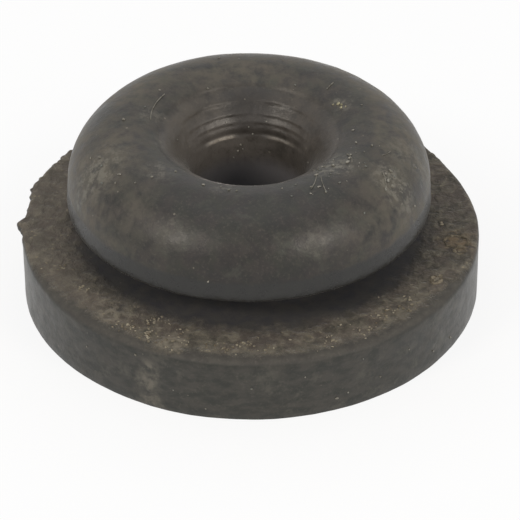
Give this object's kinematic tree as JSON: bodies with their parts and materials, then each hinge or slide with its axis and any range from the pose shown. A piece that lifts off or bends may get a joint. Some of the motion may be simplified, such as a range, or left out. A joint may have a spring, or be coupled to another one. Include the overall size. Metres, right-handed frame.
{
  "type": "rubber plug",
  "caption": "Moulded rubber plug: a thick round flange, a narrow groove for a sheet's edge, and a rounded bead with a stepped mouth and a central bore.",
  "frame": {"origin": "centre of the flange's flat underside", "axes": "+Z along the bore, from the flange up through the bead"},
  "size_m": [0.0253, 0.025, 0.0101],
  "materials": {
    "black_rubber": "matt, dusty"
  },
  "bodies": {
    "root": {"rubber_plug": "black_rubber"}
  },
  "joints": []
}
